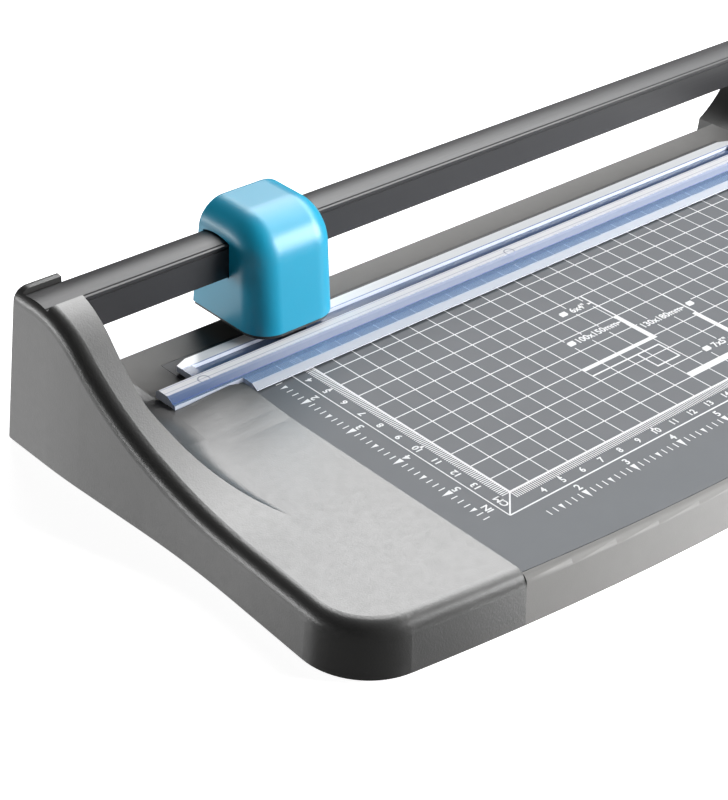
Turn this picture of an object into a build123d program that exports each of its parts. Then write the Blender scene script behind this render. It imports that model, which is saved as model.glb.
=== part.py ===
from build123d import *
from math import atan2, hypot, radians, tan
import os

# A rotary paper trimmer in millimetres. X runs along the rail, Y to the back and Z up.
# The origin is on the desk, below the middle of the machine.

# The whole machine
length = 440.0
depth = 214.0
cover_width = 70.0
body_height = 20.0
foot_height = 2.0
front_bow = 19.4
front_corner = 27.0
rear_corner = 3.0
waist_depth = 4.0
waist_from_back = 36.0
waist_middle_share = 0.557
waist_bend_shares = (0.35, 0.27)
draft_angle = 3.5
wall = 2.5

# Clearances, and how far a cut runs past the face that it opens
seat_slip = 0.2
pin_slip = 0.05
slide_slip = 0.1
running_gap = 0.5
overrun = 5.0

# The table between the paper stops
plate_thickness = 3.0
rim_width = 4.0
rim_radius = 3.5
tray_wing = 30.0
wing_front_from_back = 53.0
tray_back_inset = 9.5
tray_floor = 2.5
tray_rib_count = 4
tray_rib_thickness = 2.0

# The cut line and the mat below it
cut_from_back = 26.5
mat_depth = 12.0
mat_thickness = 2.0
mat_ahead_of_cut = 8.5
mat_past_stop = 14.0

# The rail
rail_from_cut = 2.5
rail_depth = 15.0
rail_above_table = 28.0
rail_side_height = 14.0
rail_arch = 1.2
rail_wall = 1.6
rail_end_inset = 6.0
rail_groove_width = 0.8
rail_groove_depth = 0.5
rail_groove_below_arch = 0.9
rail_block_length = 16.0
rail_screw_from_end = 9.5

# The end covers and their ridges
platform_rise = 1.0
platform_lift = 2.0
platform_lift_run = 34.0
platform_corner = 6.0
ridge_rise = 44.2
ridge_shoulder_from_rail = 8.7
ridge_slope_run = 50.2
ridge_shoulder_bend_share = 0.22
ridge_foot_bend_share = 0.74
ridge_thin_width = 17.2
ridge_thin_from_back = 69.0
ridge_thin_blend = 8.0
ridge_front_spread_share = 0.165
ridge_back_spread_share = 0.1
cover_edge_radius = 6.0
foot_fillet = 5.0
hollow_reach = 38.0
hollow_length = 59.0
flare_reach = 42.0
flare_rise = 40.0
flare_start_from_rail = 9.0
flare_length = 16.0
quarter_sagitta_share = 0.2071
flare_sagitta_share = 0.1426
step_length = 8.0
step_from_wing = 5.0
top_tilt_share = 0.15
back_facing_share = 0.9
ridge_station_count = 29
seat_thickness = 4.0
seat_front_wall = 4.0

# The clear hold-down strip, from its front foot to its back edge
strip_gap_to_cut = 2.5
strip_press_travel = 0.8
strip_sheet_gap = 0.1
strip_foot = 0.3
strip_bevel_run = 3.2
strip_plate_height = 2.8
strip_plate_depth = 9.8
strip_rib_slope = 3.3
strip_rib_height = 4.8
strip_rib_depth = 5.2
strip_rib_back = 1.8
strip_channel_depth = 6.0
strip_channel_floor = 1.0
strip_bar_depth = 5.7
strip_bar_height = 3.5
strip_stop_gap = 2.0
strip_tongue_gap = 0.5
strip_channel_past_stop = 8.3
strip_bar_past_stop = 13.0
strip_bar_corner_run = 5.5
strip_bar_corner_depth = 2.2
strip_peg_radius = 2.5
strip_peg_length = 12.2
strip_peg_past_stop = 12.0
strip_peg_count = 3
strip_washer_radius = 3.6
strip_washer_thickness = 1.2
spring_radius = 3.7
spring_wire = 0.8
spring_seat_drop = 8.0
spring_seat_floor = 2.0
spring_tube_wall = 1.4

# The cutting head, built where it stands in the rest pose
head_rest_from_stop = 38.4
head_width = 41.6
head_above_rail = 10.6
head_ahead_of_cut = 17.3
head_front_slope_share = 0.09
head_back_slope_share = 0.12
head_front_radius = 18.5
head_back_radius = 2.0
head_side_radius = 11.5
head_wall = 2.2
sole_above_table = 6.4
sole_thickness = 1.6
sole_inset = 0.8
sole_rim_height = 2.0
sole_rim_thickness = 1.5
runner_width = 3.0
runner_length = 12.0
runner_gap = 0.7
glide_thickness = 0.9
glide_length = 30.0
slider_length = 35.0
slider_bar_height = 2.6
slider_front_wall = 12.2
slider_back_wall = 1.4
slider_crown = 5.0
slider_above_blade = 1.2

# The blade and what carries it
blade_radius = 14.0
blade_thickness = 0.8
blade_bevel = 0.9
blade_above_mat = 0.3
blade_float = 1.5
blade_slot_side = 1.0
hub_radius = 6.0
hub_boss_radius = 4.0
hub_flange = 1.5
hub_washer_thickness = 1.2
axle_radius = 2.0
axle_in_carrier = 6.2
axle_clip_radius = 4.0
axle_clip_thickness = 0.7
axle_tail = 0.4
carrier_width = 14.0
carrier_depth = 7.7
carrier_gap = 0.4
carrier_below_axle = 3.3
carrier_above_axle = 14.2
stem_radius = 2.5
stem_from_cut = 5.0
stem_length = 9.0
blade_spring_radius = 3.5
blade_spring_length = 12.0

# The bottom plate, feet and screws
bottom_thickness = 2.0
foot_radius = 8.0
foot_stud_radius = 3.0
foot_from_end = 35.0
foot_front_from_front = 47.0
foot_back_from_back = 27.0
screw_radius = 1.4
screw_head_radius = 3.0
screw_head_height = 1.4
boss_wall = 2.1
base_screw_length = 10.0
cover_screw_from_end = 30.0
cover_screw_place_shares = (0.42, 0.68)
tray_screw_from_stop = 30.0
tray_screw_place_shares = (0.15, 0.84)
rail_screw_length = 13.0
head_screw_length = 9.0
head_screw_head_height = 1.0
head_boss_length = 12.0
head_screw_side_inset = 6.0
head_screw_end_inset = 6.5

# Levels and places worked out from the sizes above
half_length = length / 2
front_y = -depth / 2
back_y = depth / 2
half_paper = half_length - cover_width
half_tray = half_paper + tray_wing
half_mat = half_paper + mat_past_stop
table_top = foot_height + body_height
platform_top = table_top + platform_rise
ridge_top = table_top + ridge_rise
ridge_slope_length = hypot(ridge_slope_run, ridge_top - platform_top)
cut_y = back_y - cut_from_back
wing_front_y = back_y - wing_front_from_back
tray_back_y = back_y - tray_back_inset
rail_front_y = cut_y + rail_from_cut
rail_back_y = rail_front_y + rail_depth
ridge_shoulder_y = rail_front_y - ridge_shoulder_from_rail
ridge_foot_y = ridge_shoulder_y - ridge_slope_run
ridge_tip_y = ridge_foot_y - ridge_foot_bend_share * ridge_slope_length
rail_middle_y = (rail_front_y + rail_back_y) / 2
rail_bottom = table_top + rail_above_table
rail_shoulder = rail_bottom + rail_side_height
rail_crest = rail_shoulder + rail_arch
rail_half = half_length - rail_end_inset
rail_screw_x = half_length - rail_screw_from_end
mat_front_y = cut_y - mat_ahead_of_cut
mat_back_y = mat_front_y + mat_depth
bottom_top = foot_height + bottom_thickness
flare_x = half_length - flare_reach
strip_under = table_top + strip_press_travel + strip_sheet_gap
strip_back_y = cut_y - strip_gap_to_cut
strip_bar_y = strip_back_y - strip_bar_depth
strip_rib_y = strip_bar_y - strip_channel_depth
strip_rib_top_y = strip_rib_y - strip_rib_back - strip_rib_depth
strip_slope_y = strip_rib_top_y - strip_rib_slope
strip_front_y = strip_slope_y - strip_plate_depth
strip_tongue_y = wing_front_y + strip_tongue_gap
strip_peg_y = (strip_tongue_y + strip_rib_y) / 2
strip_channel_top = strip_under + strip_channel_floor
strip_peg_bottom = strip_under - strip_peg_length
strip_peg_x = half_paper + strip_peg_past_stop
spring_seat = table_top - spring_seat_drop
spring_seat_under = spring_seat - spring_seat_floor
head_rest_x = head_rest_from_stop - half_paper
head_half = head_width / 2
sole_bottom = table_top + sole_above_table
shell_bottom = sole_bottom + sole_thickness
head_top = rail_crest + head_above_rail
head_height = head_top - sole_bottom
head_front_y = cut_y - head_ahead_of_cut
head_front_lean = head_front_slope_share * head_height
head_back_lean = head_back_slope_share * head_height
slider_back_y = rail_back_y + running_gap + slider_back_wall
head_back_at_crest_y = slider_back_y + seat_slip + head_wall
head_back_y = head_back_at_crest_y + head_back_slope_share * (rail_crest - sole_bottom)
runner_y = strip_rib_y + strip_channel_depth / 2
blade_z = table_top + blade_above_mat + blade_radius
blade_front_y = cut_y - blade_thickness / 2
blade_back_y = cut_y + blade_thickness / 2
hub_front_y = blade_front_y - hub_flange
hub_back_y = blade_back_y + hub_washer_thickness
carrier_back_y = hub_front_y - carrier_gap
carrier_front_y = carrier_back_y - carrier_depth
carrier_bottom = blade_z - carrier_below_axle
carrier_top = blade_z + carrier_above_axle
stem_y = cut_y - stem_from_cut
slider_front_bottom = blade_z + blade_radius + blade_float + slider_above_blade
slider_front_y = rail_front_y - slider_front_wall
slider_bar_y = rail_front_y + slide_slip
slider_top = rail_crest + slider_crown
blade_spring_top = carrier_top + blade_spring_length


def block(x_span, y_span, z_span):
    """A box between two places along each axis."""
    low = Vector(x_span[0], y_span[0], z_span[0])
    high = Vector(x_span[1], y_span[1], z_span[1])
    size = high - low
    return Pos(*(low + size / 2)) * Box(*size)


def post(x, y, z_span, radius):
    """A round upright between two heights."""
    low, high = z_span
    return Pos(x, y, (low + high) / 2) * Cylinder(radius, high - low)


def rod(x, z, y_span, radius):
    """A round bar along Y."""
    front, back = y_span
    return Pos(x, (front + back) / 2, z) * Rot(X=90) * Cylinder(radius, back - front)


def tube_upright(x, y, z_span, outer, inner):
    """A sleeve between two heights."""
    low, high = z_span
    return post(x, y, z_span, outer) - post(x, y, (low - overrun, high + overrun), inner)


def along_x(face, x_span):
    """A section drawn in Y and Z, carried along X."""
    return extrude(Plane.YZ.offset(x_span[0]) * face, amount=x_span[1] - x_span[0])


def up_z(face, z_span, taper=0.0):
    """An outline drawn in X and Y, carried up."""
    return extrude(Plane.XY.offset(z_span[0]) * face, amount=z_span[1] - z_span[0], taper=taper)


def mirrored(solid):
    """The same piece at the other end of the machine."""
    return mirror(solid, about=Plane.YZ)


def bend_radii(points, shares):
    """A radius for each inner point, whose arc takes a share of the shorter run beside it."""
    corners = [Vector(*point) for point in points]
    radii = []
    for before, corner, after, share in zip(corners, corners[1:], corners[2:], shares):
        run_in = corner - before
        run_out = after - corner
        half_turn = radians(run_in.get_angle(run_out)) / 2
        radii.append(share * min(run_in.length, run_out.length) / tan(half_turn))
    return radii


def body_outline(inset=0.0):
    """The machine seen from above: a bowed front, waisted sides and a straight back."""
    corner_y = front_y + front_bow
    back_waist_y = back_y - waist_from_back
    waist_y = corner_y + waist_middle_share * (back_waist_y - corner_y)
    side = [
        (half_length, corner_y),
        (half_length - waist_depth, waist_y),
        (half_length, back_waist_y),
        (half_length, back_y),
    ]
    right = FilletPolyline(*side, radius=bend_radii(side, waist_bend_shares))
    left = mirror(right, about=Plane.YZ)
    front = ThreePointArc((-half_length, corner_y), (0, front_y), (half_length, corner_y))
    back = Line((half_length, back_y), (-half_length, back_y))
    face = make_face(Curve() + [front, right, back, left])
    corners = [corner for corner in face.vertices() if abs(corner.Y - corner_y) < pin_slip]
    face = fillet(corners, front_corner)
    return offset(face, -inset) if inset else face


def body_block():
    """The outline carried up past the ridges, with drafted walls."""
    return up_z(body_outline(), (foot_height, ridge_top + overrun), draft_angle)


def ridge_profile():
    """The side view of an end cover's top: a flat ridge, and a slope that runs out in the platform."""
    points = [
        (back_y + overrun, foot_height - overrun),
        (back_y + overrun, ridge_top),
        (ridge_shoulder_y, ridge_top),
        (ridge_foot_y, platform_top),
        (front_y - overrun, platform_top),
        (front_y - overrun, foot_height - overrun),
    ]
    half_turn = atan2(ridge_top - platform_top, ridge_slope_run) / 2
    shares = (ridge_shoulder_bend_share, ridge_foot_bend_share)
    bends = [share * ridge_slope_length / tan(half_turn) for share in shares]
    return make_face(FilletPolyline(*points, radius=[0, 0, *bends, 0, 0], close=True))


def outer_edges(cover):
    """The edges where a cover's top meets its outer and front walls."""
    tops = [face for face in cover.faces() if face.normal_at().Z > top_tilt_share]
    walls = [face for face in cover.faces() if abs(face.normal_at().Z) < top_tilt_share]
    walls = [face for face in walls if face.normal_at().Y < back_facing_share]
    walls = [face for face in walls if face.center().X < -half_paper - pin_slip]
    wall_edges = [edge for face in walls for edge in face.edges()]
    top_edges = [edge for face in tops for edge in face.edges()]
    return [edge for edge in top_edges if any(edge.is_same(other) for other in wall_edges)]


def rear_edges(cover):
    """The top and the outer edge of a cover's back wall."""
    edges = cover.faces().sort_by(Axis.Y)[-1].edges()
    edges = [edge for edge in edges if edge.center().X < -half_paper - pin_slip]
    return [edge for edge in edges if edge.center().Z > foot_height + pin_slip]


def ease(place):
    """A soft step from 0 to 1."""
    part = min(max(place, 0), 1)
    return part * part * (3 - 2 * part)


def ridge_width_at(y):
    """The ridge is thinnest halfway down its slope and spreads to both ends."""
    away = y - (back_y - ridge_thin_from_back)
    spread_share = ridge_back_spread_share if away > 0 else ridge_front_spread_share
    return ridge_thin_width + spread_share * (hypot(away, ridge_thin_blend) - ridge_thin_blend)


def hollow_at(y):
    """The hollow at the ridge's foot, which grows as the ridge rises."""
    grown = min(max((y - ridge_tip_y) / hollow_length, 0), 1)
    return foot_fillet + (hollow_reach - ridge_width_at(y) - foot_fillet) * grown * grown


def beside_ridge_at(y):
    """A section of the open space beside the left ridge, with the ridge's hollow foot."""
    flare_y = rail_front_y + flare_start_from_rail - flare_length
    flare = ease((y - flare_y) / flare_length)
    step = ease((y - wing_front_y - step_from_wing) / step_length)
    floor = platform_top - platform_rise * step
    lift = platform_lift * ease((y - wing_front_y) / platform_lift_run + 1) * (1 - step)
    width = ridge_width_at(y)
    hollow_size = hollow_at(y)
    run = hollow_size + (flare_reach - width - hollow_size) * flare
    rise = hollow_size + (flare_rise - hollow_size) * flare
    sagitta_share = quarter_sagitta_share + (flare_sagitta_share - quarter_sagitta_share) * flare
    wall_x = width - half_length
    far_x = -half_paper + overrun
    high = ridge_top + overrun
    hollow = ((wall_x + run / 2) - rise * sagitta_share, (floor + rise / 2) - run * sagitta_share)
    edges = [
        Line((wall_x, high), (wall_x, floor + rise)),
        ThreePointArc((wall_x, floor + rise), hollow, (wall_x + run, floor)),
        Line((wall_x + run, floor), (far_x, floor + lift)),
        Line((far_x, floor + lift), (far_x, high)),
        Line((far_x, high), (wall_x, high)),
    ]
    return Plane.XZ.offset(-y) * make_face(Curve() + edges)


def beside_ridge():
    """The open space beside the left ridge, from front to back."""
    pitch = (depth + 2 * overrun) / (ridge_station_count - 1)
    places = [front_y - overrun + index * pitch for index in range(ridge_station_count)]
    step_y = wing_front_y + step_from_wing
    places += [step_y, step_y + step_length]
    return loft([beside_ridge_at(y) for y in sorted(places)], ruled=True)


def bottom_pocket():
    """The space that the bottom plate takes out of the tray and the covers."""
    outline = up_z(body_outline(wall), (foot_height - overrun, bottom_top))
    notch_x = flare_x + wall
    notch = block((-notch_x, notch_x), (tray_back_y - wall, back_y), (-overrun, bottom_top + overrun))
    return outline - notch


def screw_hole(x, y, z_span):
    return post(x, y, z_span, screw_radius + pin_slip)


def screw(x, y, seat, shank, head_height):
    """A pan-head screw that points up, with its head below its seat."""
    head = post(x, y, (seat - head_height, seat), screw_head_radius)
    return head + post(x, y, (seat, seat + shank), screw_radius)


def cover_screw_places(side):
    places = [front_y + share * depth for share in cover_screw_place_shares]
    return [(side * (half_length - cover_screw_from_end), y) for y in places]


def tray_screw_places():
    places = [front_y + share * depth for share in tray_screw_place_shares]
    x = half_paper - tray_screw_from_stop
    return [(side * x, y) for side in (-1, 1) for y in places]


def foot_places():
    x = half_length - foot_from_end
    places = (front_y + foot_front_from_front, back_y - foot_back_from_back)
    return [(side * x, y) for side in (-1, 1) for y in places]


def base_bosses(places, ceiling):
    """Screw bosses that hang from a ceiling down to the bottom plate."""
    return [post(x, y, (bottom_top, ceiling), screw_radius + boss_wall) for x, y in places]


def base_boss_holes(places):
    depth_span = (foot_height, foot_height + base_screw_length + seat_slip)
    return [screw_hole(x, y, depth_span) for x, y in places]


def tray_zone(grow=0.0):
    """The tray's wide rear part, which the covers leave free."""
    x = half_tray + grow
    y_span = (wing_front_y - grow, tray_back_y + grow)
    return block((-x, x), y_span, (foot_height - overrun, table_top + grow))


def cover_cavity():
    """The room inside the left cover: a low one below the platform and a tall one in the ridge."""
    inner = up_z(body_outline(wall), (foot_height - overrun, ridge_top), draft_angle)
    below = (foot_height - overrun, platform_top - wall)
    low = inner & block((-half_length, -half_paper - wall), (front_y, back_y), below)
    low -= tray_zone(wall)
    behind_x = flare_x + wall
    low -= block((-behind_x, 0), (tray_back_y, back_y), (foot_height - overrun, table_top))
    ridge_x = half_length - ridge_thin_width + wall
    tall = inner & along_x(offset(ridge_profile(), -wall), (-half_length, -ridge_x))
    seat_span = (rail_bottom - seat_thickness, ridge_top + overrun)
    tall -= block((-half_length, 0), (rail_front_y - seat_front_wall, back_y), seat_span)
    return low + tall


def platform_corner_cut():
    """What rounds the platform's corner beside the table and the strip."""
    x = -half_paper - platform_corner
    y = wing_front_y - platform_corner
    tall = (table_top, ridge_top)
    corner = block((x, -half_paper), (y, wing_front_y), tall)
    return corner - post(x, y, tall, platform_corner)


def left_end_cover():
    cover = along_x(ridge_profile(), (-half_length - overrun, -half_paper)) & body_block()
    cover = fillet(outer_edges(cover), cover_edge_radius)
    cover = fillet(rear_edges(cover), rear_corner)
    cover -= beside_ridge()
    cover -= tray_zone()
    wing_y = (wing_front_y, wing_front_y + step_from_wing + step_length)
    cover -= block((-half_tray, 0), wing_y, (foot_height, ridge_top))
    cover -= platform_corner_cut()
    behind = (tray_back_y, back_y + overrun)
    cover -= block((-flare_x, 0), behind, (foot_height - overrun, table_top))
    cover -= cover_cavity()
    cover += base_bosses(cover_screw_places(-1), platform_top - wall)
    cover -= base_boss_holes(cover_screw_places(-1))
    cover -= bottom_pocket()
    seat_y = (rail_front_y - seat_slip, rail_back_y + seat_slip)
    seat_x = (-rail_half - seat_slip, -half_paper)
    cover -= block(seat_x, seat_y, (rail_bottom, ridge_top + overrun))
    cover -= screw_hole(-rail_screw_x, rail_middle_y, (rail_bottom - wall - seat_thickness, rail_bottom))
    return cover


def plate_block(side_x, front_inset, back, z_span):
    """The table plate's form: straight sides, and a front that follows the machine's bow."""
    outline = up_z(body_outline(front_inset), z_span)
    return outline & block((-side_x, side_x), (front_y, back), z_span)


def peg_places():
    pitch = 2 * strip_peg_x / (strip_peg_count - 1)
    return [(index * pitch - strip_peg_x, strip_peg_y) for index in range(strip_peg_count)]


def table_plate():
    z_span = (table_top - plate_thickness, table_top)
    plate = plate_block(half_paper - seat_slip, rim_width, mat_front_y - seat_slip, z_span)
    well = spring_radius + seat_slip
    plate -= [post(x, y, (z_span[0], table_top + overrun), well) for x, y in peg_places()]
    return plate


def tray_cavity(ceiling):
    z_span = (foot_height - overrun, ceiling)
    front_x = half_paper - wall
    rear_x = half_tray - wall
    rear_y = (wing_front_y + wall, tray_back_y - wall)
    front = plate_block(front_x, wall, rear_y[0] + overrun, z_span)
    return front + block((-rear_x, rear_x), rear_y, z_span)


def tray_ribs(ceiling):
    """Upright ribs below the table, from the front wall to the wing."""
    half_rib = tray_rib_thickness / 2
    pitch = 2 * half_paper / (tray_rib_count + 1)
    places = [(index + 1) * pitch - half_paper for index in range(tray_rib_count)]
    y_span = (front_y, wing_front_y)
    return [block((x - half_rib, x + half_rib), y_span, (bottom_top, ceiling)) for x in places]


def base_tray():
    low = (foot_height, table_top)
    zone = block((-half_paper, half_paper), (front_y - overrun, wing_front_y), low)
    zone += block((-half_tray, half_tray), (wing_front_y, tray_back_y), low)
    tray = body_block() & zone
    rim = tray.edges().filter_by(GeomType.CIRCLE).group_by(Axis.Z)[-1]
    tray = fillet(rim, rim_radius)
    ceiling = table_top - plate_thickness - tray_floor
    ribs = plate_block(half_paper, wall / 2, wing_front_y, (bottom_top, ceiling)) & tray_ribs(ceiling)
    tray -= tray_cavity(ceiling)
    tray += ribs
    tube = spring_radius + seat_slip + spring_tube_wall
    tray += [post(x, y, (spring_seat_under, ceiling), tube) for x, y in peg_places()]
    tray += base_bosses(tray_screw_places(), ceiling)
    pocket_span = (table_top - plate_thickness, table_top + overrun)
    tray -= plate_block(half_paper, rim_width - seat_slip, mat_front_y, pocket_span)
    mat_x = half_mat + seat_slip
    mat_span = (table_top - mat_thickness, table_top + overrun)
    tray -= block((-mat_x, mat_x), (mat_front_y, mat_back_y + seat_slip), mat_span)
    for x, y in peg_places():
        tray -= post(x, y, (spring_seat, table_top + overrun), spring_radius + seat_slip)
        tray -= post(x, y, (spring_seat_under, spring_seat), strip_peg_radius + slide_slip)
    tray -= base_boss_holes(tray_screw_places())
    return tray - bottom_pocket()


def cutting_mat():
    z_span = (table_top - mat_thickness, table_top)
    return block((-half_mat, half_mat), (mat_front_y, mat_back_y), z_span)


def bottom_plate():
    outline = up_z(body_outline(wall + seat_slip), (foot_height, bottom_top))
    notch_x = flare_x + wall + seat_slip
    notch_y = (tray_back_y - wall - seat_slip, back_y)
    plate = outline - block((-notch_x, notch_x), notch_y, (foot_height, bottom_top))
    plate -= [screw_hole(x, y, (foot_height, bottom_top)) for x, y in base_screw_places()]
    plate -= [post(x, y, (foot_height, bottom_top), foot_stud_radius) for x, y in foot_places()]
    return plate


def base_screw_places():
    return cover_screw_places(-1) + cover_screw_places(1) + tray_screw_places()


def base_screws():
    places = base_screw_places()
    return Compound([screw(x, y, foot_height, base_screw_length, screw_head_height) for x, y in places])


def rubber_feet():
    feet = []
    for x, y in foot_places():
        pad = post(x, y, (0, foot_height), foot_radius)
        feet.append(pad + post(x, y, (foot_height, bottom_top), foot_stud_radius - pin_slip))
    return Compound(feet)


def rail_section():
    """Flat sides and bottom, and an arched top."""
    edges = [
        Polyline(
            (rail_front_y, rail_shoulder),
            (rail_front_y, rail_bottom),
            (rail_back_y, rail_bottom),
            (rail_back_y, rail_shoulder),
        ),
        ThreePointArc(
            (rail_back_y, rail_shoulder),
            (rail_middle_y, rail_crest),
            (rail_front_y, rail_shoulder),
        ),
    ]
    return make_face(Curve() + edges)


def guide_rail():
    section = rail_section()
    rail = along_x(section - offset(section, -rail_wall), (-rail_half, rail_half))
    groove_top = rail_shoulder - rail_groove_below_arch
    groove_y = (rail_front_y - overrun, rail_front_y + rail_groove_depth)
    groove_z = (groove_top - rail_groove_width, groove_top)
    rail -= block((-half_length, half_length), groove_y, groove_z)
    hole_span = (rail_bottom, rail_bottom + rail_wall)
    rail -= [screw_hole(side * rail_screw_x, rail_middle_y, hole_span) for side in (-1, 1)]
    return rail


def left_rail_block():
    plug = offset(rail_section(), -rail_wall - seat_slip)
    solid = along_x(plug, (-rail_half, -rail_half + rail_block_length))
    hole_top = rail_bottom - seat_thickness + rail_screw_length + seat_slip
    return solid - screw_hole(-rail_screw_x, rail_middle_y, (rail_bottom, hole_top))


def rail_screws():
    seat = rail_bottom - seat_thickness
    sides = (-rail_screw_x, rail_screw_x)
    return Compound([screw(x, rail_middle_y, seat, rail_screw_length, screw_head_height) for x in sides])


def strip_section():
    """Foot, bevel, plate, rib, channel and rear bar of the clear strip, from front to back."""
    plate_top = table_top + strip_plate_height
    rib_top = table_top + strip_rib_height
    bar_top = table_top + strip_bar_height
    points = [
        (strip_front_y, strip_under),
        (strip_front_y, strip_under + strip_foot),
        (strip_front_y + strip_bevel_run, plate_top),
        (strip_slope_y, plate_top),
        (strip_rib_top_y, rib_top),
        (strip_rib_y - strip_rib_back, rib_top),
        (strip_rib_y, bar_top),
        (strip_rib_y, strip_channel_top),
        (strip_bar_y, strip_channel_top),
        (strip_bar_y, bar_top),
        (strip_back_y, bar_top),
        (strip_back_y, strip_under),
    ]
    return make_face(Polyline(*points, close=True))


def clear_strip():
    section = along_x(strip_section(), (-half_tray, half_tray))
    tall = (foot_height, ridge_top)
    plate_x = half_paper - strip_stop_gap
    bar_x = half_paper + strip_bar_past_stop
    corner_x = bar_x - strip_bar_corner_run
    corner_y = strip_back_y - strip_bar_corner_depth
    plate = section & block((-plate_x, plate_x), (strip_front_y, strip_rib_y), tall)
    tongues = section & block((-half_tray, half_tray), (strip_tongue_y, strip_rib_y), tall)
    right = [(bar_x, strip_rib_y), (bar_x, corner_y), (corner_x, strip_back_y)]
    left = [(-x, y) for x, y in reversed(right)]
    bar = section & up_z(make_face(Polyline(*right, *left, close=True)), tall)
    strip = plate + tongues + bar
    channel_x = half_paper + strip_channel_past_stop
    closing = (strip_channel_top, table_top + strip_bar_height)
    for ends in ((-bar_x, -channel_x), (channel_x, bar_x)):
        strip += block(ends, (strip_rib_y, strip_bar_y), closing)
    strip += [post(x, y, (strip_peg_bottom, strip_under), strip_peg_radius) for x, y in peg_places()]
    return strip


def strip_washers():
    z_span = (strip_peg_bottom, strip_peg_bottom + strip_washer_thickness)
    bore = strip_peg_radius + pin_slip
    return Compound([tube_upright(x, y, z_span, strip_washer_radius, bore) for x, y in peg_places()])


def strip_springs():
    """Plain sleeves in place of the coils, which the tray hides."""
    z_span = (spring_seat, strip_under)
    inner = spring_radius - spring_wire
    return Compound([tube_upright(x, y, z_span, spring_radius, inner) for x, y in peg_places()])


def head_profile():
    """The head's side view: both faces lean in, and the front rounds over into the top."""
    points = [
        (head_front_y - head_front_slope_share * overrun, sole_bottom - overrun),
        (head_front_y + head_front_lean, head_top),
        (head_back_y - head_back_lean, head_top),
        (head_back_y + head_back_slope_share * overrun, sole_bottom - overrun),
    ]
    return make_face(FilletPolyline(*points, radius=[0, head_front_radius, 0, 0], close=True))


def head_form(inset=0.0):
    """The head's rounded form, or the same form drawn in all round."""
    profile = head_profile()
    profile = offset(profile, -inset) if inset else profile
    half = head_half - inset
    form = along_x(profile, (head_rest_x - half, head_rest_x + half))
    low = form.bounding_box().min.Z + pin_slip
    ends = [edge for face in form.faces().filter_by(Axis.X) for edge in face.edges()]
    back = form.faces().sort_by(Axis.Y)[-1].edges()
    rounded = [edge for edge in ends if not any(edge.is_same(other) for other in back)]
    form = fillet([edge for edge in rounded if edge.center().Z > low], head_side_radius - inset)
    back = form.faces().sort_by(Axis.Y)[-1].edges()
    back_radius = head_back_radius - inset
    return fillet([edge for edge in back if edge.center().Z > low], back_radius) if back_radius > 0 else form


def head_slab(z_span):
    """A level slice that is wider than the head."""
    x_span = (head_rest_x - head_width, head_rest_x + head_width)
    return block(x_span, (head_front_y - overrun, head_back_y + overrun), z_span)


def head_x(half):
    return (head_rest_x - half, head_rest_x + half)


def head_screw_places():
    x = head_half - head_screw_side_inset
    places = (head_front_y + head_screw_end_inset, head_back_y - head_screw_end_inset)
    return [(head_rest_x + side * x, y) for side in (-1, 1) for y in places]


def head_shell():
    inner = head_form(head_wall)
    shell = head_form() - inner
    boss_span = (shell_bottom, shell_bottom + head_boss_length)
    bosses = [post(x, y, boss_span, screw_radius + boss_wall) for x, y in head_screw_places()]
    shell += head_form(head_wall / 2) & bosses
    shell = shell & head_slab((shell_bottom, head_top))
    hole_span = (sole_bottom, sole_bottom + sole_thickness + head_screw_length)
    shell -= [screw_hole(x, y, hole_span) for x, y in head_screw_places()]
    shell -= along_x(offset(rail_section(), running_gap), head_x(head_width))
    return shell


def head_sole():
    sole = head_form(sole_inset) & head_slab((sole_bottom, shell_bottom))
    rim_inset = head_wall + seat_slip
    rim = head_form(rim_inset) - head_form(rim_inset + sole_rim_thickness)
    rim = rim & head_slab((shell_bottom, shell_bottom + sole_rim_height))
    boss = screw_radius + boss_wall + seat_slip
    tall = (shell_bottom, head_top)
    rim -= [post(x, y, tall, boss) for x, y in head_screw_places()]
    slot_x = head_x(blade_radius + blade_slot_side)
    slot_y = (blade_front_y - blade_slot_side, blade_back_y + blade_slot_side)
    sole = sole + rim - block(slot_x, slot_y, (sole_bottom - overrun, head_top))
    runner_span = (runner_y - runner_width / 2, runner_y + runner_width / 2)
    runner_z = (strip_channel_top + runner_gap, sole_bottom)
    sole += block(head_x(runner_length / 2), runner_span, runner_z)
    recess = screw_head_radius + pin_slip
    recess_z = (sole_bottom - overrun, sole_bottom + head_screw_head_height)
    sole -= [post(x, y, recess_z, recess) for x, y in head_screw_places()]
    sole -= [screw_hole(x, y, (sole_bottom, shell_bottom)) for x, y in head_screw_places()]
    return sole


def head_screws():
    seat = sole_bottom + head_screw_head_height
    places = head_screw_places()
    return Compound([screw(x, y, seat, head_screw_length, head_screw_head_height) for x, y in places])


def glide_gap():
    return glide_thickness + slide_slip


def head_slider():
    """The carriage: over the rail, down its back and under it, with a thick front for the stem."""
    half = slider_length / 2
    outside = head_form(head_wall + seat_slip)
    front = block(head_x(half), (slider_front_y, rail_front_y), (slider_front_bottom, slider_top))
    low = rail_bottom - glide_gap() - slider_bar_height
    over = block(head_x(half), (slider_front_y, head_back_y), (rail_shoulder, slider_top))
    behind = block(head_x(half), (rail_back_y, head_back_y), (low, slider_top))
    under = block(head_x(half), (slider_bar_y, head_back_y), (low, rail_bottom))
    body = front + over + behind + under
    body = body & outside
    body -= along_x(offset(rail_section(), running_gap), head_x(head_width))
    pad = glide_length / 2 + seat_slip
    front_y_span = (rail_front_y - glide_gap(), rail_front_y)
    body -= block(head_x(pad), front_y_span, (slider_front_bottom - overrun, rail_shoulder - rail_arch))
    body -= block(head_x(pad), (slider_bar_y, rail_back_y), (rail_bottom - glide_gap(), rail_bottom))
    bore = blade_spring_radius + seat_slip
    body -= post(head_rest_x, stem_y, (slider_front_bottom, blade_spring_top), bore)
    return body


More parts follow.
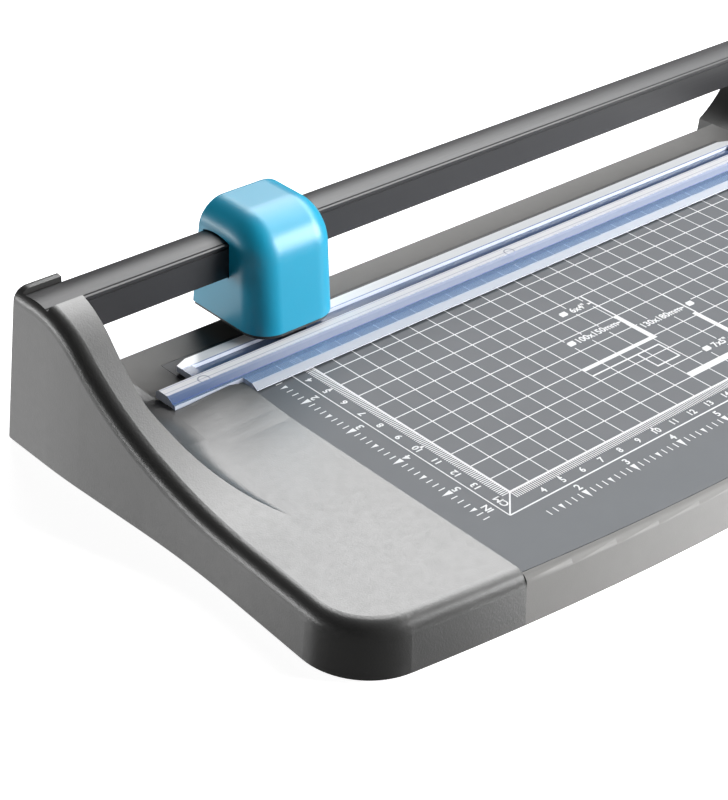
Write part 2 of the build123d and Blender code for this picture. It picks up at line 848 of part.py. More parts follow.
def front_glide():
    y_span = (rail_front_y - glide_gap(), rail_front_y - slide_slip)
    z_span = (slider_front_bottom, rail_shoulder - rail_arch)
    return block(head_x(glide_length / 2), y_span, z_span)


def under_glide():
    y_span = (slider_bar_y + seat_slip, rail_back_y)
    z_span = (rail_bottom - glide_gap(), rail_bottom - slide_slip)
    return block(head_x(glide_length / 2), y_span, z_span)


def blade_carrier():
    y_span = (carrier_front_y, carrier_back_y)
    body = block(head_x(carrier_width / 2), y_span, (carrier_bottom, carrier_top))
    body += post(head_rest_x, stem_y, (carrier_top, carrier_top + stem_length), stem_radius)
    axle_y = (carrier_back_y - axle_in_carrier, carrier_back_y)
    return body - rod(head_rest_x, blade_z, axle_y, axle_radius + pin_slip)


def blade_axle():
    clip_back_y = hub_back_y + running_gap + axle_clip_thickness
    return rod(head_rest_x, blade_z, (carrier_back_y - axle_in_carrier, clip_back_y + axle_tail), axle_radius)


def axle_clip():
    front = hub_back_y + running_gap
    clip = rod(head_rest_x, blade_z, (front, front + axle_clip_thickness), axle_clip_radius)
    return clip - rod(head_rest_x, blade_z, (front, front + axle_clip_thickness), axle_radius + pin_slip)


def blade_spring():
    """A plain sleeve in place of the coil, which the head hides."""
    inner = blade_spring_radius - spring_wire
    return tube_upright(head_rest_x, stem_y, (carrier_top, blade_spring_top), blade_spring_radius, inner)


def rotary_blade():
    """A thin disc, ground to an edge from both sides."""
    half = blade_thickness / 2
    hole = hub_boss_radius + pin_slip
    points = [
        (hole, -half),
        (blade_radius - blade_bevel, -half),
        (blade_radius, 0),
        (blade_radius - blade_bevel, half),
        (hole, half),
    ]
    disc = revolve(make_face(Polyline(*points, close=True)), axis=Axis.Y)
    return Pos(head_rest_x, cut_y, blade_z) * disc


def blade_hub():
    hub = rod(head_rest_x, blade_z, (hub_front_y, blade_front_y), hub_radius)
    hub += rod(head_rest_x, blade_z, (hub_front_y, hub_back_y), hub_boss_radius)
    return hub - rod(head_rest_x, blade_z, (hub_front_y, hub_back_y), axle_radius + pin_slip)


def hub_washer():
    washer = rod(head_rest_x, blade_z, (blade_back_y, hub_back_y), hub_radius)
    return washer - rod(head_rest_x, blade_z, (blade_back_y, hub_back_y), hub_boss_radius + pin_slip)


def all_pieces():
    """Every piece under its name."""
    left_cover = left_end_cover()
    left_block = left_rail_block()
    return {
        "base_tray": base_tray(),
        "table_plate": table_plate(),
        "left_end_cover": left_cover,
        "right_end_cover": mirrored(left_cover),
        "bottom_plate": bottom_plate(),
        "base_screws": base_screws(),
        "rubber_feet": rubber_feet(),
        "cutting_mat": cutting_mat(),
        "guide_rail": guide_rail(),
        "left_rail_block": left_block,
        "right_rail_block": mirrored(left_block),
        "rail_screws": rail_screws(),
        "clear_strip": clear_strip(),
        "strip_washers": strip_washers(),
        "strip_springs": strip_springs(),
        "head_shell": head_shell(),
        "head_sole": head_sole(),
        "head_screws": head_screws(),
        "head_slider": head_slider(),
        "front_glide": front_glide(),
        "under_glide": under_glide(),
        "blade_carrier": blade_carrier(),
        "blade_axle": blade_axle(),
        "axle_clip": axle_clip(),
        "blade_spring": blade_spring(),
        "rotary_blade": rotary_blade(),
        "blade_hub": blade_hub(),
        "hub_washer": hub_washer(),
    }


os.makedirs("parts", exist_ok=True)
for name, solid in all_pieces().items():
    export_step(solid, f"parts/{name}.step")
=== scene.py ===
import math

import bpy
from mathutils import Matrix, Vector


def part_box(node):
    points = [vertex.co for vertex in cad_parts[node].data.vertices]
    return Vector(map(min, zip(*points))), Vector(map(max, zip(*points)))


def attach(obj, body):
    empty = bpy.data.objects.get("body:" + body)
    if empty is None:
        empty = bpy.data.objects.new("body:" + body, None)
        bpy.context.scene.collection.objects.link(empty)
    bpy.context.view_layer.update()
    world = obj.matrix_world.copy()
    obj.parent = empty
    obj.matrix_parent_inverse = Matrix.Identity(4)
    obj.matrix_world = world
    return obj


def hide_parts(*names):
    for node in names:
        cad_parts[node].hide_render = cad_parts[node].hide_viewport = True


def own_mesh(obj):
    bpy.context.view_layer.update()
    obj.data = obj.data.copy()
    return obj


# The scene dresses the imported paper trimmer: finishes, printing, coil springs and studio.
# Lengths are in metres.
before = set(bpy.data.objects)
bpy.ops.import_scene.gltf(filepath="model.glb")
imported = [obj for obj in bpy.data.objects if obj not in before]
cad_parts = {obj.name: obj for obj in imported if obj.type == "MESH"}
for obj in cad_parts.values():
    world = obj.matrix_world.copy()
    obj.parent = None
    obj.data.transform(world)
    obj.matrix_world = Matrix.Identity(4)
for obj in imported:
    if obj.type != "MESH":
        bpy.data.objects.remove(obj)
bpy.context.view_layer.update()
MM = 0.001
QUARTER_TURN = math.pi / 2
DRAWN_OUT = (0.01, 1.0, 1.0)


class Signal:
    """A shader socket that can be used in sums."""

    def __init__(self, finish, socket):
        self.finish = finish
        self.socket = socket

    def combine(self, operation, first, second):
        return self.finish.node("ShaderNodeMath", {"operation": operation}, {0: first, 1: second})

    def __add__(self, other):
        return self.combine("ADD", self, other)

    def __sub__(self, other):
        return self.combine("SUBTRACT", self, other)

    def __mul__(self, other):
        return self.combine("MULTIPLY", self, other)

    def __abs__(self):
        return self.combine("ABSOLUTE", self, 0.0)

    __radd__ = __add__
    __rmul__ = __mul__


class Finish:
    """A material built round one Principled shader."""

    def __init__(self, name, **uniform):
        self.material = bpy.data.materials.new(name)
        self.material.use_nodes = True
        self.tree = self.material.node_tree
        self.shader = self.tree.nodes["Principled BSDF"]
        self.set(**uniform)

    def put(self, socket, value):
        if isinstance(value, Signal):
            self.tree.links.new(value.socket, socket)
        else:
            socket.default_value = value

    def set(self, **values):
        """Set shader inputs; an underscore stands for a space in an input's name."""
        for name, value in values.items():
            self.put(self.shader.inputs[name.replace("_", " ")], value)

    def node(self, kind, settings=None, values=None, output=0):
        node = self.tree.nodes.new(kind)
        for name, value in (settings or {}).items():
            if name == "stops":
                self.fill(node.color_ramp.elements, value)
            else:
                setattr(node, name, value)
        for name, value in (values or {}).items():
            self.put(node.inputs[name], value)
        return Signal(self, node.outputs[output])

    def fill(self, elements, stops):
        """Set a ramp's stops, each a place from 0 to 1 and a colour."""
        elements[0].position, elements[0].color = stops[0]
        elements[1].position, elements[1].color = stops[-1]
        for place, color in stops[1:-1]:
            elements.new(place).color = color

    def place(self):
        return self.node("ShaderNodeTexCoord", output="Object")

    def axis(self, name):
        return self.node("ShaderNodeSeparateXYZ", {}, {0: self.place()}, output=name)

    def noise(self, size, detail=2.0, stretch=(1.0, 1.0, 1.0)):
        """A cloudy value from 0 to 1 whose patches are about the given size."""
        place = self.node("ShaderNodeMapping", {}, {"Scale": stretch, "Vector": self.place()})
        values = {"Vector": place, "Scale": 1 / size, "Detail": detail}
        return self.node("ShaderNodeTexNoise", {}, values)

    def lines(self, size):
        """A cloudy value drawn out along the object's length."""
        return self.noise(size, stretch=DRAWN_OUT)

    def mix(self, factor, low, high):
        """A colour between two, each given as three values or as a signal."""
        colors = [end if isinstance(end, Signal) else (*end, 1.0) for end in (low, high)]
        values = {0: factor, 6: colors[0], 7: colors[1]}
        return self.node("ShaderNodeMix", {"data_type": "RGBA"}, values, output=2)

    def ramp(self, value, start, end):
        """Nothing at the start, one at the end."""
        return self.node("ShaderNodeMapRange", {}, {0: value, 1: start, 2: end})

    def band(self, value, low, high, blur):
        """One between two places, and nothing beyond them."""
        return self.ramp(value, low - blur, low + blur) * self.ramp(value, high + blur, high - blur)

    def mottle(self, size, dark, light):
        self.set(Base_Color=self.mix(self.noise(size), dark, light))

    def grain(self, size, depth, strength):
        """A fine moulded texture on the surface."""
        values = {"Height": self.noise(size, 3.0), "Distance": depth, "Strength": strength}
        self.set(Normal=self.node("ShaderNodeBump", {}, values))


def moulded(name, cloud, dark, light, roughness, unevenness, patch, grain, **uniform):
    """Moulded plastic or rubber with a faint mottle, an uneven gloss and a fine grain."""
    finish = Finish(name, **uniform)
    finish.mottle(cloud, dark, light)
    finish.set(Roughness=roughness + unevenness * finish.noise(patch))
    finish.grain(*grain)
    return finish


def cover_finish():
    """Charcoal moulded plastic with a fine spark-eroded grain."""
    return moulded(
        "cover_plastic",
        cloud=40 * MM,
        dark=(0.014, 0.014, 0.014),
        light=(0.020, 0.020, 0.019),
        roughness=0.33,
        unevenness=0.08,
        patch=3 * MM,
        grain=(0.7 * MM, 0.05 * MM, 0.8),
        Specular_IOR_Level=1.0,
    )


def table_finish():
    """Blue-grey satin plate with faint cloudiness."""
    return moulded(
        "table_plastic",
        cloud=35 * MM,
        dark=(0.083, 0.091, 0.100),
        light=(0.093, 0.101, 0.112),
        roughness=0.44,
        unevenness=0.08,
        patch=5 * MM,
        grain=(0.35 * MM, 0.02 * MM, 0.4),
        Specular_IOR_Level=0.25,
    )


def tray_finish():
    """The tray's plain dark moulding."""
    return moulded(
        "tray_plastic",
        cloud=40 * MM,
        dark=(0.088, 0.086, 0.082),
        light=(0.102, 0.100, 0.096),
        roughness=0.52,
        unevenness=0.08,
        patch=4 * MM,
        grain=(0.5 * MM, 0.04 * MM, 0.6),
        Specular_IOR_Level=0.5,
    )


def plain_finish(name, dark, light, roughness, patch):
    """Moulding or rubber whose mottle and grain follow from one patch size."""
    return moulded(
        name,
        cloud=8 * patch,
        dark=dark,
        light=light,
        roughness=roughness,
        unevenness=0.10,
        patch=patch,
        grain=(patch / 3, 0.02 * MM, 0.4),
    )


RAIL_BLACK = (0.013, 0.013, 0.015)
# The colour of the painted groove shade on the rail's top.
GROOVE_SHADE_BLACK = (0.002, 0.002, 0.002)
GROOVE_SHADE_FRONT = 0.9 * MM
GROOVE_SHADE_BACK = 1.5 * MM
GROOVE_SHADE_BLUR = 0.1 * MM


def rail_finish():
    """Black anodised metal, with faint drawing lines and a painted dark, rough line of groove shade
    behind its front edge.
    """
    finish = Finish("rail_black", Specular_IOR_Level=0.55)
    lines = finish.lines(0.8 * MM)
    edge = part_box("guide_rail")[0].y
    # Painted shade: a dark, rougher band behind the front edge stands for the shade of a groove.
    groove_shade = finish.band(finish.axis("Y"), edge + GROOVE_SHADE_FRONT, edge + GROOVE_SHADE_BACK, GROOVE_SHADE_BLUR)
    finish.set(Base_Color=finish.mix(groove_shade, RAIL_BLACK, GROOVE_SHADE_BLACK))
    finish.set(Roughness=0.40 + 0.10 * lines + 0.5 * groove_shade)
    return finish


# The clear strip's bands, from its front edge to its back: where each starts in millimetres, its
# colour and how much it covers. In order: bevel, plate, rib, channel and rear bar.
# The plate's blue is the plastic's own tint; the white and pale bands on the rib and the rear bar
# are painted highlights, and the dark bands at the front of the rib and in the channel are painted
# shade.
STRIP_TINT_HIGHLIGHT_SHADE_BANDS = (
    (0.0, (0.16, 0.19, 0.24), 0.92),
    (3.2, (0.34, 0.50, 0.78), 0.36),
    (9.6, (0.03, 0.07, 0.26), 0.80),
    (10.0, (0.03, 0.07, 0.18), 0.84),
    (12.0, (0.06, 0.10, 0.20), 0.88),
    (13.1, (0.86, 0.87, 0.92), 0.94),
    (14.6, (0.46, 0.49, 0.58), 0.90),
    (14.9, (0.88, 0.89, 0.92), 0.94),
    (17.4, (0.54, 0.58, 0.70), 0.90),
    (17.7, (0.82, 0.83, 0.88), 0.94),
    (18.6, (0.30, 0.38, 0.62), 0.88),
    (20.1, (0.08, 0.12, 0.22), 0.88),
    (26.1, (0.30, 0.38, 0.62), 0.88),
    (26.7, (0.82, 0.84, 0.87), 0.94),
    (31.8, (0.82, 0.84, 0.87), 0.94),
)
BAND_BLUR = 0.12
STREAK_COVER = 0.08
# Upright faces of the strip get a painted highlight: whiter and more opaque.
EDGE_HIGHLIGHT_WHITE = (0.70, 0.75, 0.86)
EDGE_HIGHLIGHT_COVER = 0.3
# An edge starts to show, and shows in full, at these squares of how far its face looks up.
EDGE_START = 0.16
EDGE_FULL = 0.02
RING_BLUE = (0.05, 0.09, 0.22)
RING_COVER = 0.55
RING_INNER = 2.0 * MM
RING_OUTER = 2.6 * MM
RING_BLUR = 0.15 * MM


def strip_stops(depth):
    """The strip's bands as the stops of a ramp, with a short blur between two bands."""
    starts = [start for start, _, _ in STRIP_TINT_HIGHLIGHT_SHADE_BANDS]
    tints = [(*color, cover) for _, color, cover in STRIP_TINT_HIGHLIGHT_SHADE_BANDS]
    stops = [(0.0, tints[0])]
    for start, before, after in zip(starts[1:], tints, tints[1:]):
        stops.append(((start - BAND_BLUR) / depth, before))
        stops.append((min((start + BAND_BLUR) / depth, 1.0), after))
    return stops


def peg_rings(finish):
    """Rings round the three pegs below the strip."""
    low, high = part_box("strip_springs")
    peg_y = (low.y + high.y) / 2
    peg_x = high.x - (high.y - low.y) / 2
    along = abs(finish.axis("X"))
    along = along.combine("MINIMUM", along, abs(along - peg_x))
    out = finish.axis("Y") - peg_y
    reach = along.combine("SQRT", along * along + out * out, 0.0)
    return finish.band(reach, RING_INNER, RING_OUTER, RING_BLUR)


def clear_finish():
    """Clear blue plastic with painted highlights on the rib, rear bar and upright edges, and
    painted shade in the channel.
    """
    front, back = (corner.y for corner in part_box("clear_strip"))
    finish = Finish("clear_plastic")
    across = finish.ramp(finish.axis("Y"), front, back)
    stops = strip_stops((back - front) / MM)
    bands = finish.node("ShaderNodeValToRGB", {"stops": stops}, {0: across})
    cover = Signal(finish, bands.socket.node.outputs["Alpha"])
    # Painted highlight: faces that stand upright turn whiter and more opaque.
    facing = finish.node("ShaderNodeTexCoord", output="Normal")
    facing = finish.node("ShaderNodeSeparateXYZ", {}, {0: facing}, output="Z")
    edge = finish.ramp(facing * facing, EDGE_START, EDGE_FULL)
    edge_highlighted = finish.mix(edge, bands, EDGE_HIGHLIGHT_WHITE)
    finish.set(Base_Color=finish.mix(RING_COVER * peg_rings(finish), edge_highlighted, RING_BLUE))
    streaks = finish.lines(0.9 * MM)
    finish.set(Alpha=cover + STREAK_COVER * (streaks - 0.5) + EDGE_HIGHLIGHT_COVER * edge)
    finish.set(Roughness=0.10 + 0.14 * streaks)
    return finish


def head_finish():
    """Teal moulded plastic with a gloss."""
    finish = Finish("head_teal", Roughness=0.38, Coat_Weight=0.15, Coat_Roughness=0.25)
    finish.mottle(20 * MM, dark=(0.001, 0.258, 0.414), light=(0.003, 0.282, 0.446))
    finish.grain(0.35 * MM, 0.015 * MM, 0.3)
    return finish


def steel_finish():
    finish = Finish("steel", Base_Color=(0.62, 0.62, 0.60, 1.0), Metallic=1.0)
    finish.set(Roughness=0.20 + 0.14 * finish.noise(1.5 * MM))
    return finish


def ink_finish():
    """White printing ink, a little thinner in places."""
    finish = Finish("print_white", Roughness=0.50)
    finish.mottle(2 * MM, dark=(0.66, 0.67, 0.69), light=(0.78, 0.79, 0.80))
    return finish


# Plain finishes: the darkest and lightest colour, the lowest roughness and the patch size.
PLAIN = {
    "black_plastic": ((0.012, 0.012, 0.013), (0.017, 0.017, 0.018), 0.37, 1.5 * MM),
    "white_plastic": ((0.68, 0.68, 0.66), (0.76, 0.76, 0.74), 0.35, 2 * MM),
    "mat_plastic": ((0.026, 0.028, 0.032), (0.034, 0.036, 0.040), 0.45, 1.2 * MM),
    "rubber_black": ((0.014, 0.014, 0.014), (0.022, 0.022, 0.022), 0.70, 1 * MM),
}
finishes = {
    "cover_plastic": cover_finish(),
    "table_plastic": table_finish(),
    "tray_plastic": tray_finish(),
    "rail_black": rail_finish(),
    "clear_plastic": clear_finish(),
    "head_teal": head_finish(),
    "steel": steel_finish(),
    **{name: plain_finish(name, *row) for name, row in PLAIN.items()},
}


def dress():
    """Give each node's slots the finish of the same name."""
    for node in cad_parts.values():
        for slot in node.material_slots:
            name = slot.material.name.split(".")[0]
            slot.material = finishes[name].material


dress()


# The printing is measured in millimetres: along the table from the left paper stop, and towards
# the front from the line of the cut.
CUT_BEHIND_BLADE = 0.5 * MM
blade_low, blade_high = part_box("rotary_blade")
stop_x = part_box("left_end_cover")[1].x
cut_y = (blade_low.y + blade_high.y) / 2 + CUT_BEHIND_BLADE
table_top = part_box("table_plate")[1].z
white_ink = ink_finish().material

INK = 0.03
LAYER = 0.01
CM = 10.0
INCH = 25.4
EIGHTH = INCH / 8
GRID_ALONG = (30.0, 270.0)
GRID_OUT = (20.0, 140.0)
# The counts at which marks and numbers stand.
CM_ALONG = range(4, 28)
CM_OUT = range(4, 14)
FIVES_ALONG = range(5, 26, 5)
FIVES_OUT = (5, 10)
INCHES_ALONG = range(2, 11)
INCHES_OUT = range(2, 6)
EIGHTHS_ALONG = range(10, 86)
EIGHTHS_OUT = range(11, 47)

LINE = 0.45
TICK_WIDTH = 0.4
TICK_LENGTH = 4.0
EDGE_WIDTH = 0.9
LEFT_BORDER_WIDTH = 0.5
FRONT_BORDER_WIDTH = 0.6
CORNER_REACH = 2.1
CORNER_HALF_WIDTH = 0.3

WEDGE_WIDTH_SHARE = 0.45
WEDGE_RADIUS_SHARE = 0.667
INCH_WEDGE = 4.5
HALF_INCH_WEDGE = 3.2
SMALL_WEDGE = 2.6
FIVE_FROM_GRID = 4.6
INCH_WEDGE_FROM_GRID = 17.4
INCH_TICK_FROM_GRID = (16.0, 19.0)

WORD_LAYER = 6
WORD_WEIGHT_SHARE = 0.022
WORD_STEPS = 3
CM_NUMBER = 4.1
CM_NUMBER_FROM_GRID = 6.8
INCH_NUMBER = 4.6
INCH_NUMBER_FROM_GRID = 13.4
UNIT_WORD = 4.2
UNIT_PAST_GRID = 2.2
CM_WORD_FROM_GRID = 6.4
INCH_WORD_FROM_GRID = 13.2

# Print-size labels: words, middle along and out, width, and the middle of the sign beside them.
LABELS = (
    ('6x4"', 144.0, 66.2, 9.5, 135.8),
    ("100x150mm", 135.7, 84.2, 22.0, 121.4),
    ("130x180mm", 165.2, 92.3, 22.0, 183.4),
    ('7x5"', 168.9, 120.1, 9.0, 161.0),
)
LABEL_WORD = 4.7
LABEL_WEDGE_AFTER = 1.9
CLEAR_BEFORE = 1.0
CLEAR_AFTER = 4.0
CLEAR_ROUND_SIGN = 3.0
CLEAR_HEIGHT = 5.6
# A sign's two blocks about its middle: along, out and layer.
SIGN_BLOCKS = (
    ((-1.9, 1.3), (-1.2, 1.2), 2),
    ((-1.3, 1.9), (-1.8, 0.6), 3),
)
# The corner marks of the print sizes: along, out and layer.
MARK_BARS = (
    ((150.0, 6 * INCH), (80.0, 4 * INCH), 2),
    ((110.0, 6 * INCH), (99.6, 4 * INCH), 3),
    ((7 * INCH, 180.0), (98.0, 130.0), 2),
    ((140.0, 180.0), (5 * INCH, 130.0), 3),
)
# Thin lines that go with the marks: place, span, width and layer.
MARK_LINES_OUT = (
    (152.0, (60.0, 80.0), 0.8, 4),
    (180.0, (80.0, 98.0), 0.8, 4),
    (148.3, (105.7, 116.5), 0.7, 6),
    (135.6, (105.7, 116.5), 0.7, 6),
)
MARK_LINES_ALONG = (
    (105.7, (110.0, 148.6), 0.7, 4),
    (116.5, (135.3, 148.6), 0.7, 5),
)


def thickness(layer):
    """Pieces that cross lie in different layers, so that no two of their tops coincide."""
    return (INK + LAYER * layer) * MM


def on_table(along, out, layer=0):
    """The middle of a printed piece."""
    return (stop_x + along * MM, cut_y - out * MM, table_top + thickness(layer) / 2)


def settle():
    bpy.ops.object.transform_apply(location=True, rotation=True, scale=True)
    return bpy.context.object


def finish_modifier(piece, modifier):
    bpy.context.view_layer.objects.active = piece
    bpy.ops.object.modifier_apply(modifier=modifier.name)


def bar(along, out, layer=0, turn=0.0):
    """A printed bar between two places along the table and two places towards the front."""
    centre = on_table(sum(along) / 2, sum(out) / 2, layer)
    size = ((along[1] - along[0]) * MM, (out[1] - out[0]) * MM, thickness(layer))
    bpy.ops.mesh.primitive_cube_add(size=1, location=centre, rotation=(0, 0, turn), scale=size)
    return settle()


def line_out(along, out, width=LINE, layer=0):
    """A printed line from back to front."""
    return bar((along - width / 2, along + width / 2), out, layer)


def line_along(out, along, width=LINE, layer=0):
    """A printed line from left to right."""
    return bar(along, (out - width / 2, out + width / 2), layer)


def wedge(along, out, size, turn=0.0):
    """A slim printed triangle; its tip points to the back before it is turned."""
    bpy.ops.mesh.primitive_cylinder_add(
        vertices=3,
        radius=WEDGE_RADIUS_SHARE,
        depth=thickness(0),
        location=on_table(along, out),
        rotation=(0, 0, turn),
        scale=(WEDGE_WIDTH_SHARE * size * MM, size * MM, 1.0),
    )
    return settle()


def words(text, along, out, size, turn=0.0):
    """A printed label with its middle at the given place."""
    bpy.ops.object.text_add(location=on_table(along, out, WORD_LAYER), rotation=(0, 0, turn))
    label = bpy.context.object
    label.data.body = text
    label.data.size = size * MM
    label.data.offset = WORD_WEIGHT_SHARE * size * MM
    label.data.align_x = "CENTER"
    label.data.align_y = "CENTER"
    label.data.extrude = thickness(WORD_LAYER) / 2
    label.data.resolution_u = WORD_STEPS
    bpy.ops.object.convert(target="MESH")
    return settle()


def repeat(piece, count, along=0.0, out=0.0):
    """Copies of a piece in a row, with their steps in millimetres."""
    array = piece.modifiers.new("row", "ARRAY")
    array.count = count
    array.use_relative_offset = False
    array.use_constant_offset = True
    array.constant_offset_displace = (along * MM, -out * MM, 0)
    finish_modifier(piece, array)
    return piece


def cut_free(piece):
    """Leave printed lines out where the labels stand."""
    for _, along, out, width, sign in LABELS:
        low = min(along - width / 2 - CLEAR_BEFORE, sign - CLEAR_ROUND_SIGN)
        high = max(along + width / 2 + CLEAR_AFTER, sign + CLEAR_ROUND_SIGN)
        centre = on_table((low + high) / 2, out)
        size = ((high - low) * MM, CLEAR_HEIGHT * MM, MM)
        bpy.ops.mesh.primitive_cube_add(size=1, location=centre, scale=size)
        block = settle()
        gap = piece.modifiers.new("gap", "BOOLEAN")
        gap.operation = "DIFFERENCE"
        gap.object = block
        finish_modifier(piece, gap)
        bpy.data.objects.remove(block)
    return piece


def printed(name, pieces):
    """Join printed pieces under one name, on the table."""
    bpy.ops.object.select_all(action="DESELECT")
    for piece in pieces:
        piece.select_set(True)
    bpy.context.view_layer.objects.active = pieces[0]
    bpy.ops.object.join()
    joined = bpy.context.object
    joined.name = name
    joined.data.materials.clear()
    joined.data.materials.append(white_ink)
    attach(joined, "base")


def grid_print():
    columns = int((GRID_ALONG[1] - GRID_ALONG[0]) / CM) + 1
    rows = int((GRID_OUT[1] - GRID_OUT[0]) / CM) + 1
    uprights = repeat(line_out(GRID_ALONG[0], GRID_OUT), columns, along=CM)
    levels = repeat(line_along(GRID_OUT[0], GRID_ALONG, layer=1), rows, out=CM)
    printed("grid_print", [cut_free(uprights), cut_free(levels)])


def centimetre_print():
    """The tick bands beside the grid, and the border that closes them in."""
    left, right = GRID_ALONG
    back, front = GRID_OUT
    border = left - CM
    left_tick = line_along(back, (left - TICK_LENGTH, left), TICK_WIDTH, layer=2)
    front_tick = line_out(left, (front, front + TICK_LENGTH), TICK_WIDTH, layer=2)
    middle = front + CM / 2
    corner_along = (border - CORNER_REACH, left + CORNER_REACH)
    corner_out = (middle - CORNER_HALF_WIDTH, middle + CORNER_HALF_WIDTH)
    pieces = [
        repeat(left_tick, int(front - back) + 1, out=1),
        repeat(front_tick, int(right - left) + 1, along=1),
        line_out(left, (back, front), EDGE_WIDTH, layer=3),
        line_along(front, (left, right), EDGE_WIDTH, layer=4),
        line_out(border, (back, front + CM), LEFT_BORDER_WIDTH, layer=3),
        line_along(front + CM, (border, right + CM), FRONT_BORDER_WIDTH, layer=4),
        bar(corner_along, corner_out, layer=5, turn=QUARTER_TURN / 2),
    ]
    for n in FIVES_OUT:
        pieces.append(wedge(left - FIVE_FROM_GRID, n * CM, SMALL_WEDGE, -QUARTER_TURN))
    for n in FIVES_ALONG:
        pieces.append(wedge(n * CM, front + FIVE_FROM_GRID, SMALL_WEDGE))
    printed("centimetre_print", pieces)


def inch_print():
    """Eighths of an inch outside the border, with wedges at the halves and the inches."""
    left = GRID_ALONG[0]
    front = GRID_OUT[1]
    near, far = INCH_TICK_FROM_GRID
    sizes = {0: INCH_WEDGE, 4: HALF_INCH_WEDGE}
    pieces = []
    for n in EIGHTHS_OUT:
        size = sizes.get(n % 8)
        if size:
            pieces.append(wedge(left - INCH_WEDGE_FROM_GRID, n * EIGHTH, size, QUARTER_TURN))
        else:
            pieces.append(line_along(n * EIGHTH, (left - far, left - near)))
    for n in EIGHTHS_ALONG:
        size = sizes.get(n % 8)
        if size:
            pieces.append(wedge(n * EIGHTH, front + INCH_WEDGE_FROM_GRID, size, 2 * QUARTER_TURN))
        else:
            pieces.append(line_out(n * EIGHTH, (front + near, front + far)))
    printed("inch_print", pieces)


def number_print():
    """Numbers and unit words beside the scales."""
    left = GRID_ALONG[0]
    front = GRID_OUT[1]
    cm_left, cm_front = left - CM_NUMBER_FROM_GRID, front + CM_NUMBER_FROM_GRID
    inch_left, inch_front = left - INCH_NUMBER_FROM_GRID, front + INCH_NUMBER_FROM_GRID
    unit_out = front + UNIT_PAST_GRID
    rows = [(str(n), cm_left, n * CM, CM_NUMBER, QUARTER_TURN) for n in CM_OUT]
    rows += [(str(n), n * CM, cm_front, CM_NUMBER) for n in CM_ALONG]
    rows += [(str(n), inch_left, n * INCH, INCH_NUMBER, QUARTER_TURN) for n in INCHES_OUT]
    rows += [(str(n), n * INCH, inch_front, INCH_NUMBER) for n in INCHES_ALONG]
    rows.append(("CM", left - CM_WORD_FROM_GRID, unit_out, UNIT_WORD, QUARTER_TURN))
    rows.append(("IN", left - INCH_WORD_FROM_GRID, unit_out, UNIT_WORD, QUARTER_TURN))
    printed("number_print", [words(*row) for row in rows])


def size_print():
    """Corner marks for common print sizes, in inches and in millimetres."""
    pieces = []
    for text, along, out, width, sign in LABELS:
        pieces.append(words(text, along, out, LABEL_WORD))
        tip = along + width / 2 + LABEL_WEDGE_AFTER
        pieces.append(wedge(tip, out, SMALL_WEDGE, -QUARTER_TURN))
        for sides, ends, layer in SIGN_BLOCKS:
            sides = (sign + sides[0], sign + sides[1])
            pieces.append(bar(sides, (out + ends[0], out + ends[1]), layer))
    pieces += [bar(*row) for row in MARK_BARS]
    pieces += [line_out(*row) for row in MARK_LINES_OUT]
    pieces += [line_along(*row) for row in MARK_LINES_ALONG]
    printed("size_print", pieces)


grid_print()
centimetre_print()
inch_print()
number_print()
size_print()


# The springs are coils of round wire, in place of the plain sleeves of the solid model.
WIRE = 0.8 * MM
WIRE_SIDES = 10
TURNS = 5
TURN_STEPS = 24


def coil(radius, height):
    """A coil spring that stands on the origin."""
    bpy.ops.mesh.primitive_circle_add(
        vertices=WIRE_SIDES,
        radius=WIRE / 2,
        location=(radius - WIRE / 2, 0, WIRE / 2),
        rotation=(QUARTER_TURN, 0, 0),
    )
    piece = settle()
    turns = piece.modifiers.new("turns", "SCREW")
    turns.iterations = TURNS
    turns.steps = turns.render_steps = TURN_STEPS
    turns.screw_offset = (height - WIRE) / TURNS
    finish_modifier(piece, turns)
    bpy.ops.object.mode_set(mode="EDIT")
    bpy.ops.mesh.select_all(action="SELECT")
    bpy.ops.mesh.fill_holes(sides=WIRE_SIDES)
    bpy.ops.mesh.normals_make_consistent(inside=False)
    bpy.ops.object.mode_set(mode="OBJECT")
    bpy.ops.object.shade_smooth_by_angle()
    return piece


def spring(name, node, body, count=1):
    """Coils that stand for a node's sleeves, fixed to a body."""
    low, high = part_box(node)
    height = high.z - low.z
    radius = (high.y - low.y) / 2
    piece = coil(radius, height)
    if count > 1:
        repeat(piece, count, along=(high.x - low.x - 2 * radius) / (count - 1) / MM)
    bpy.ops.transform.translate(value=(low.x + radius, low.y + radius, low.z))
    piece = settle()
    piece.name = name
    piece.data.materials.append(finishes["steel"].material)
    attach(piece, body)
    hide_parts(node)
    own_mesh(piece)


spring("strip_coils", "strip_springs", "base", 3)
spring("blade_coil", "blade_spring", "cutting_head")


# Each lamp's place, the point it faces and its two sizes.
RIGHT_LAMP = ((1.0, 0.38, 1.30), (-0.1, 0.0, 0.02), (2.3, 0.9))
FRONT_LAMP = ((0.98, -0.92, 0.52), (-0.05, 0.05, 0.05), (0.8, 0.85))
LEFT_LAMP = ((-0.95, 0.70, 0.07), (-0.1, 0.05, 0.05), (0.8, 0.14))
SIDE_SHEEN = ((-0.80, 0.90, -0.50), (-0.2, 0.04, 0.03), (0.9, 0.6))
FRONT_SHEEN = ((0.84, -0.80, -0.50), (-0.05, -0.16, 0.02), (0.8, 0.5))
WHITE = (1.0, 1.0, 1.0, 1.0)
FLOOR_WHITE = (0.90, 0.90, 0.90, 1.0)
FLOOR_SIZE = 12.0
FLOOR_GLOW = 0.9
FLOOR_DROP = 0.1 * MM
ROOM_GLOW = 0.05


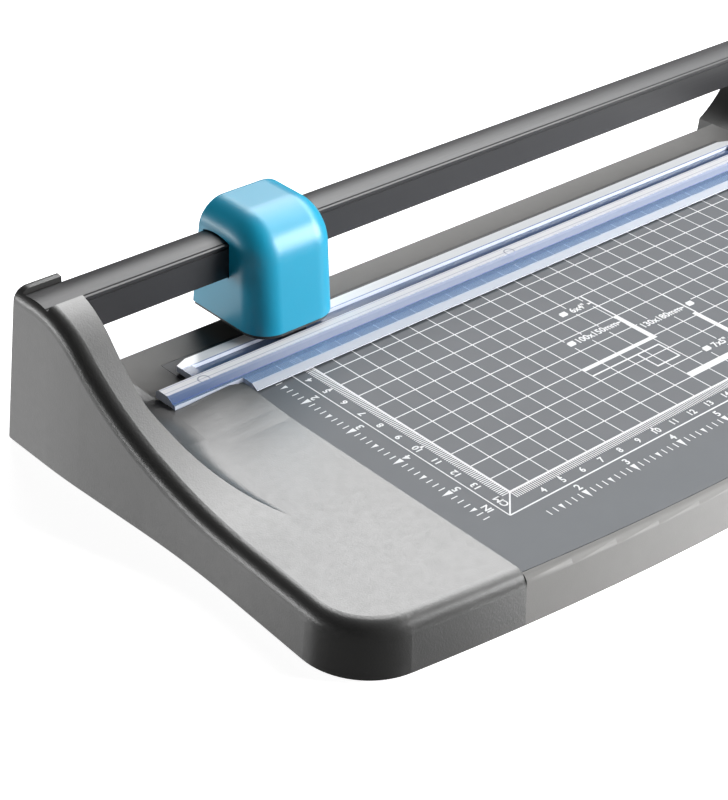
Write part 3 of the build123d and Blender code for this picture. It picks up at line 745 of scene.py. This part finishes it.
def lay_floor():
    """A white floor that the glossy walls don't mirror."""
    bpy.ops.mesh.primitive_plane_add(size=FLOOR_SIZE, location=(0, 0, -FLOOR_DROP))
    floor = bpy.context.object
    floor.name = "floor"
    finish = Finish("floor_white", Base_Color=FLOOR_WHITE, Roughness=0.80)
    finish.set(Emission_Color=WHITE, Emission_Strength=FLOOR_GLOW)
    floor.data.materials.append(finish.material)
    floor.visible_glossy = False
    floor.visible_shadow = False


def lamp(name, place, target, size, power):
    bpy.ops.object.light_add(type="AREA", location=place)
    light = bpy.context.object
    light.name = name
    light.data.shape = "RECTANGLE"
    light.data.size, light.data.size_y = size
    light.data.energy = power
    aim = Vector(target) - Vector(place)
    light.rotation_euler = aim.to_track_quat("-Z", "Y").to_euler()
    return light


def studio():
    """A dim room with soft lamps on the right, in front and on the left.

    The sheens are seen only as reflections. Two of them stand below the floor, where the side
    wall and the front wall mirror them.
    """
    lay_floor()
    world = bpy.data.worlds.new("room")
    world.use_nodes = True
    background = world.node_tree.nodes["Background"]
    background.inputs["Color"].default_value = WHITE
    background.inputs["Strength"].default_value = ROOM_GLOW
    bpy.context.scene.world = world
    bpy.context.scene.view_settings.view_transform = "Standard"
    lamp("right_sheen", *RIGHT_LAMP, power=60).visible_diffuse = False
    lamp("right_softbox", *RIGHT_LAMP, power=36).visible_glossy = False
    lamp("front_softbox", *FRONT_LAMP, power=48)
    lamp("left_panel", *LEFT_LAMP, power=4)
    lamp("side_sheen", *SIDE_SHEEN, power=3.2).visible_diffuse = False
    lamp("front_sheen", *FRONT_SHEEN, power=18).visible_diffuse = False


CAMERA_PLACE = (-0.55122, -0.44382, 0.42354)
CAMERA_RIGHT = Vector((0.73796724, -0.67360233, 0.04079526))
CAMERA_DOWN = Vector((-0.3362672, -0.41946476, -0.84319255))
CAMERA_FORWARD = Vector((0.58508865, 0.60853037, -0.53606162))
SENSOR_WIDTH = 36.0
LENS = 90.22
LENS_SHIFT = -0.03


def camera():
    """The photograph's own view, fitted to the printed grid."""
    bpy.ops.object.camera_add()
    view = bpy.context.object
    turn = Matrix((CAMERA_RIGHT, -CAMERA_DOWN, -CAMERA_FORWARD)).transposed()
    view.matrix_world = Matrix.Translation(CAMERA_PLACE) @ turn.to_4x4()
    view.data.sensor_width = SENSOR_WIDTH
    view.data.lens = LENS
    view.data.shift_x = LENS_SHIFT
    bpy.context.scene.camera = view


studio()
camera()
